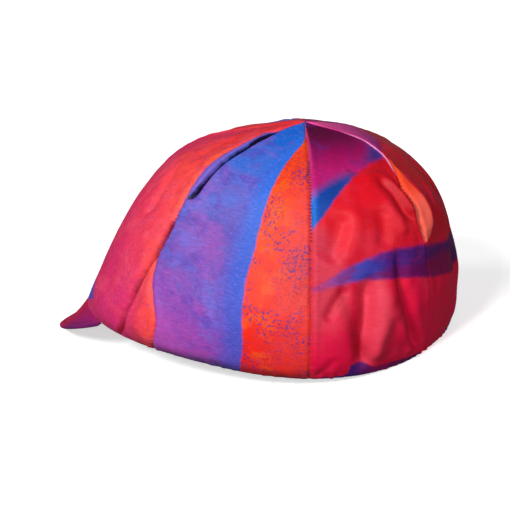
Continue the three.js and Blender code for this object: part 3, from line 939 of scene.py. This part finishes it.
BACK_RIGHT_LAYERS = (
    ("mist", "all over", 20, 1.3, 6, 0.45, 0.72, 0.5, "#D82048"),
    # Painted highlight: bright orange on the ridge beside the seam, which faces the light while the gore
    # beyond falls into shade.
    (
        "down", "orange strip",
        ((0.26, "#FF4A20"), (0.34, "#FF4A2C"), (0.4, "#FF6454"), (0.52, "#FF6858")),
        (
            "left", 0.008, (0, -0.2), (0.19, -0.02), (0.26, 0.035), (0.32, 0.07), (0.37, 0.095),
            (0.43, 0.105), (0.5, 0.07), (0.53, -0.02), (1, -0.2),
        ),
    ),
    (
        "down", "plum top",
        ((0.02, "#F0509C"), (0.1, "#C83088"), (0.2, "#801468")),
        ("above", 0.012, (0, 0.2), (0.3, 0.19), (1, 0.14)),
    ),
    ("across", "violet band", ("#58186A", "#561464", "#581048", "#5C1038"), *BACK_RIGHT_BAND),
    ("mist", "violet band", 6, 2.5, 14, 0.45, 0.65, 0.5, "#88106C"),
    (
        "across", "magenta half", "#84084C",
        ("below", 0.02, (0, 0.575), (0.3, 0.6), (0.5, 0.7), (1, 0.8)), BACK_RIGHT_BAND[1],
    ),
    (
        "across", "hem patch", ("#3A2A88", "#5A1A70"),
        ("below", 0.02, (0, 1.1), (0.3, 0.97), (0.5, 0.9), (1, 0.86)),
    ),
)
FRONT_LEFT_GROUND = (
    (0.15, "#EE2C30"), (0.33, "#F6443E"), (0.5, "#E83A50"), (0.75, "#E03454"), (1, "#E03456"),
)
FRONT_LEFT_LAYERS = (
    (
        "down", "magenta",
        ((0.1, "#DC2438"), (0.3, "#DC2858"), (0.6, "#DC2A62"), (1, "#D02A70")),
        ("left", 0.25, (0, 0.2), (0.4, 0.45), (0.6, 0.7), (0.75, 0.9), (1, 1.05)),
    ),
    (
        "down", "coral", ("#F65438", "#F6503C", "#F4443A"),
        ("right", 0.13, (0, 1.05), (0.3, 0.9), (0.55, 0.92), (0.7, 0.92), (0.8, 0.9), (1, 0.9)),
    ),
    ("mist", "all over", 21, 1.4, 3, 0.45, 0.7, 0.45, "#F0506A"),
    ("mist", "all over", 12, 1.2, 7, 0.5, 0.72, 0.4, "#C82450"),
    ("mist", "all over", 4, 1.4, 15, 0.48, 0.66, 0.2, "#CC2240"),
    ("mist", "all over", 2.6, 1.3, 16, 0.52, 0.7, 0.16, "#FA6C7A"),
    ("flecks", "all over", 1.8, 33, 0.5, "#A83878"),
    # Painted shade: a dark line along the crease by the seam, where the wall of the fold turns from the
    # light.
    (
        "down", "crease", ("#8A0A24", "#920C28"),
        (
            "right", 0.02, (0, 1.2), (0.44, 1.1), (0.5, 0.98), (0.6, 0.952), (0.75, 0.808), (0.96, 0.745),
            (1, 0.9),
        ),
        ("left", 0.008, (0, 1.0), (0.5, 1.01), (0.6, 0.978), (0.75, 0.832), (0.96, 0.772), (1, 0.7)),
    ),
    (
        "across", "blue wedge", ("#2C66D0", "#5248B4", "#8440A8"),
        ("below", 0.012, (0, 0.55), (0.25, 0.72), (0.4, 0.83), (0.46, 0.87), (1, 1.6)),
        ("above", 0.012, (0, 0.98), (0.25, 0.96), (0.4, 0.91), (0.46, 0.87), (1, 0.4)),
    ),
)
SIDE_RIGHT_GROUND = ((0.1, "#8A1A5C"), (0.22, "#A01A38"), (0.34, "#F04A2C"), (0.6, "#EE3C2A"), (1, "#E62828"))
SIDE_RIGHT_LAYERS = (
    ("mist", "all over", 16, 1.2, 41, 0.45, 0.68, 0.6, "#F87034"),
    ("flecks", "all over", 1.7, 43, 0.85, "#6A4AA0"),
    (
        "down", "violet wedge",
        ("#1262CC", "#3A60CC", "#6C58BC", "#8040A8", "#8A3A98"),
        ("left", 0.015, (0, -0.3), (0.25, 0), (0.4, 0.3), (0.7, 0.5), (1, 0.46)),
    ),
    ("mist", "violet wedge", 22, 1.8, 44, 0.42, 0.7, 0.6, "#A84CA8"),
    ("mist", "violet wedge", 3, 5, 46, 0.5, 0.66, 0.35, "#3C62CC"),
    (
        "across", "plum corner", ("#B8106A", "#7A003C"),
        ("below", 0.015, (0, 1.1), (0.4, 1), (0.6, 0.86), (1, 0.6)),
    ),
)
FRONT_RIGHT_GROUND = ((0, "#1060C8"), (0.3, "#2C6AD6"), (0.6, "#6058BE"), (1, "#8440A4"))
FRONT_RIGHT_LAYERS = (
    ("mist", "all over", 24, 1.7, 51, 0.42, 0.7, 0.6, "#A84CA8"),
    ("mist", "all over", 3, 5, 52, 0.5, 0.66, 0.35, "#3C62CC"),
    (
        "down", "red sweep", ("#E82830", "#EC4054", "#D42C62"),
        ("right", 0.015, (0, 0.2), (0.25, 0.45), (0.5, 0.5), (0.8, 0.35), (1, 0.2)),
    ),
    ("mist", "red sweep", 18, 1.4, 53, 0.45, 0.7, 0.5, "#F04A3C"),
)
# In the order of GORES: ground, layers, and the tint that shows through on the back.
PRINTS = (
    (FRONT_LEFT_GROUND, FRONT_LEFT_LAYERS, "#E9C4C8"),
    (VIOLET_GROUND, SIDE_LEFT_LAYERS, "#CFC6E2"),
    (BACK_LEFT_GROUND, BACK_LEFT_LAYERS, "#E4B4BC"),
    (BACK_RIGHT_GROUND, BACK_RIGHT_LAYERS, "#D9B0BE"),
    (SIDE_RIGHT_GROUND, SIDE_RIGHT_LAYERS, "#EBC6BC"),
    (FRONT_RIGHT_GROUND, FRONT_RIGHT_LAYERS, "#C8CCE8"),
)
PEAK_GROUND = ((0, "#B80A38"), (1, "#B80E44"))
PEAK_LAYERS = (
    ("mist", "all over", 9, 1.5, 61, 0.4, 0.7, 0.6, "#D02048"),
    ("down", "violet side", ("#A01460", "#7A1A68"), ("right", 0.1, (0, 0.86), (1, 0.8))),
)
CASING_GROUND = ((0, "#3A1048"), (1, "#5A0A40"))
CASING_LAYERS = (
    ("mist", "all over", 16, 2.5, 71, 0.4, 0.6, 0.9, "#2A2A80"),
    ("mist", "all over", 5, 1.5, 72, 0.45, 0.65, 0.4, "#8A1040"),
)


# Stitches


def tip_back(directions):
    """Turns directions by the resting tilt, as settle turns points."""
    t = math.radians(REST_TILT)
    turn = np.array([[1, 0, 0], [0, math.cos(t), math.sin(t)], [0, -math.sin(t), math.cos(t)]])
    return directions @ turn.T


def stitch_piece(name, centres, along, lift, length, thread):
    """A row of separate thread stitches, each a short bead that dips into the cloth at both ends."""
    centres, along, lift = settle(centres), tip_back(along), tip_back(lift)
    length, thick = length / 1000, STITCH_THICK / 1000
    # Six rings of six points: places along a stitch, and how full it is there.
    rings = np.array([-0.5, -0.38, -0.15, 0.15, 0.38, 0.5])
    girth = np.array([0.35, 0.8, 1, 1, 0.8, 0.35])
    turn = np.linspace(0, 2 * math.pi, 6, endpoint=False)
    side = np.cross(lift, along)
    points = (
        centres[:, None, None]
        + along[:, None, None] * (rings * length)[None, :, None, None]
        + side[:, None, None] * (girth[:, None] * np.cos(turn) * thick / 2)[None, :, :, None]
        + lift[:, None, None] * (girth[:, None] * np.sin(turn) * thick / 2)[None, :, :, None]
        - lift[:, None, None] * ((2 * rings) ** 2 * thick * 0.4)[None, :, None, None]
    )
    one = grid_faces(6, 6, around_columns=True)
    caps = np.array([[0, 1, 2, 3], [0, 3, 4, 5], [35, 34, 33, 32], [35, 32, 31, 30]])
    shape = np.concatenate([one, caps])
    faces = (shape[None] + 36 * np.arange(len(centres))[:, None, None]).reshape(-1, 4)
    return make_mesh(name, points, faces, [thread])


def seam_stitches(seam, start, end, thread):
    """Threads that show in the groove between two gores."""
    count = int((end - start) * MERIDIAN / STITCH_STEP)
    v = np.linspace(start, end, count)
    angle = seam_angle(seam, v)
    reach = plan_reach(angle, v)
    nr, nz = outward(seam, angle, v)
    t = np.radians(angle)
    centres = around(angle, reach + nr * STITCH_RISE, rows("height", v) + nz * STITCH_RISE)
    tangent = np.stack([np.cos(t), np.sin(t), 0 * t], -1)
    lift = np.stack([nr * np.sin(t), -nr * np.cos(t), nz], -1)
    return stitch_piece(f"seam_{seam}_stitches", centres, tangent, lift, STITCH_LENGTH, thread)


def peak_topstitch(thread):
    """A line of stitches that follows the peak's edge at a fixed inset."""
    across = np.linspace(-0.93, 0.93, 600)
    run = PEAK_REACH * (1 - across**2) ** PEAK_OUTLINE
    line = []
    for side, length in zip(across, run):
        share = max(1 - TOPSTITCH_INSET / max(length, 1e-3), 0.0)
        line.append(peak_surface(np.array([side]), np.array([share]), -TOPSTITCH_RISE)[0][0])
    line = np.array(line)
    steps = np.concatenate([[0], np.cumsum(np.linalg.norm(np.diff(line, axis=0), axis=1))])
    places = np.arange(1.5, steps[-1] - 1.5, TOPSTITCH_STEP)
    centres, ahead = (
        np.stack([np.interp(places + step, steps, axis) for axis in line.T], -1) for step in (0, 0.7)
    )
    ahead = ahead - centres
    along = ahead / np.linalg.norm(ahead, axis=1, keepdims=True)
    steep = math.radians(PEAK_DROOP)
    up = np.tile([0, -math.sin(steep), math.cos(steep)], (len(centres), 1))
    side = np.cross(up, along)
    lift = np.cross(along, side)
    lift = lift / np.linalg.norm(lift, axis=1, keepdims=True)
    return stitch_piece("peak_topstitch", centres, along, lift, TOPSTITCH_LENGTH, thread)


def pale_floor():
    """Flat white paper floor: matt, with no colour of its own."""
    material, tree = new_material("white_paper_sweep")
    place = add(tree, "TexCoord").outputs[3]
    tooth = add(tree, "TexNoise", {"Vector": place, "Scale": 400.0, "Detail": 2.0})
    paper = add(tree, "ValToRGB", (tooth,), stops=shade(("#F6F6F6", "#FBFBFB")))
    shader = add(
        tree,
        "BsdfPrincipled",
        {
            "Base Color": paper,
            "Roughness": 0.9,
            "Specular IOR Level": 0.1,
            "Emission Color": (1, 1, 1, 1),
            "Emission Strength": 0.6,
        },
    )
    add(tree, "OutputMaterial", (shader,))
    corners = FLOOR_HALF * np.array([[-1, -1, 0], [1, -1, 0], [1, 1, 0], [-1, 1, 0]])
    floor = make_mesh("paper_floor", corners, np.array([[0, 1, 2, 3]]), [material])
    floor.visible_diffuse = False
    floor.visible_glossy = False
    return floor


def photo_camera():
    """A long lens from the left and behind, rolled and shifted as the view asks."""
    data = bpy.data.cameras.new("photo_camera")
    data.lens, data.sensor_width = CAMERA_LENS, 36
    data.shift_x, data.shift_y = CAMERA_SHIFT
    camera = bpy.data.objects.new("photo_camera", data)
    back = (Vector(CAMERA_PLACE) - Vector(CAMERA_AIM)).normalized()
    right = Vector((0, 0, 1)).cross(back).normalized()
    up = back.cross(right)
    roll = math.radians(CAMERA_ROLL)
    x_axis = right * math.cos(roll) + up * math.sin(roll)
    y_axis = up * math.cos(roll) - right * math.sin(roll)
    turn = Matrix((x_axis, y_axis, back)).transposed().to_4x4()
    camera.matrix_world = Matrix.Translation(CAMERA_PLACE) @ turn
    bpy.context.scene.collection.objects.link(camera)
    bpy.context.scene.camera = camera


def soft_box(name, place, size, power):
    """A round white soft box, aimed at the middle of the cap."""
    data = bpy.data.lights.new(name, "AREA")
    data.shape, data.size, data.energy = "DISK", size, power
    lamp = bpy.data.objects.new(name, data)
    lamp.location = place
    aim = Vector((0, 0, 0.06)) - Vector(place)
    lamp.rotation_euler = aim.to_track_quat("-Z", "Y").to_euler()
    bpy.context.scene.collection.objects.link(lamp)
    return lamp


def studio_light():
    """A key from the left, weaker boxes before and behind, and one without gloss on the far side."""
    soft_box("front_left_box", (1.07, -1.37, 1.35), 0.5, 12)
    soft_box("left_key_box", (1.79, 0.12, 1.26), 0.5, 37)
    soft_box("back_fill_box", (1.25, 1.55, 0.5), 0.8, 14)
    far_side = soft_box("far_side_fill_box", (-1.6, -0.3, 0.35), 1.0, 9)
    far_side.visible_glossy = False
    world = bpy.data.worlds.new("studio_air")
    world.use_nodes = True
    sky = world.node_tree.nodes["Background"]
    sky.inputs["Color"].default_value = linear("#F4F6FA")
    sky.inputs["Strength"].default_value = 0.08
    bpy.context.scene.world = world
    bpy.context.scene.view_settings.view_transform = "Standard"


def main():
    """Builds every piece, hides the solid it stands for, and hangs it on its body."""
    for thing in list(bpy.data.objects):
        bpy.data.objects.remove(thing)
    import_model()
    photo_camera()
    studio_light()
    pale_floor()
    navy_thread = spun_thread("navy_polyester_thread", "#33205E")
    plum_thread = spun_thread("plum_polyester_thread", "#5C1238")
    pieces = {}
    for gore, name in enumerate(GORES):
        ground, layers, tint = PRINTS[gore]
        outside = printed_jersey(name + "_printed_jersey", ground, layers)
        inside = undyed_reverse(name + "_undyed_reverse", tint)
        pieces[name] = gore_piece(gore, outside, inside)
    peak_cloth = printed_jersey("peak_printed_jersey", PEAK_GROUND, PEAK_LAYERS)
    pieces["peak"] = peak_piece(peak_cloth)
    casing_cloth = printed_jersey("casing_printed_jersey", CASING_GROUND, CASING_LAYERS)
    pieces["hem_casing"] = casing_piece(casing_cloth)
    for name, piece in pieces.items():
        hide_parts(name)
        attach(piece, "root")
    for seam, start, end in STITCH_RUNS:
        threads = seam_stitches(seam, start, end, navy_thread)
        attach(threads, "root")
    threads = peak_topstitch(plum_thread)
    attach(threads, "root")


main()
